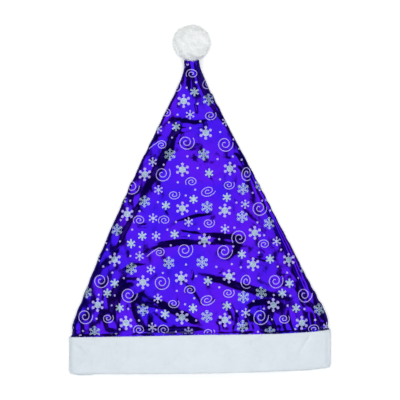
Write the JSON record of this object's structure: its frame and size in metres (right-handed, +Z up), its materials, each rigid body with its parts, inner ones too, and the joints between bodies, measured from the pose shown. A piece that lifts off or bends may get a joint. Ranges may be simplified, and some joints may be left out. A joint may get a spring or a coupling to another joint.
{
  "type": "party hat",
  "caption": "Soft party hat lying flat: a hollow foil cloth cone with a plush band round its opening and a plush pompom on its tip.",
  "frame": {"origin": "on the surface that the hat lies on, under the middle of its bounding box", "axes": "+Y from the open hem to the pompom, +X to the right of the hat seen from above, +Z up from the surface"},
  "size_m": [0.2898, 0.384, 0.0401],
  "materials": {
    "foil_cloth": "shiny violet-blue foil cloth with a pale print of snowflakes, spirals and dots",
    "band_plush": "short white plush",
    "pompom_plush": "dense white plush"
  },
  "bodies": {
    "root": {"crown": "foil_cloth", "brim_band": "band_plush", "pompom": "pompom_plush"}
  },
  "joints": []
}
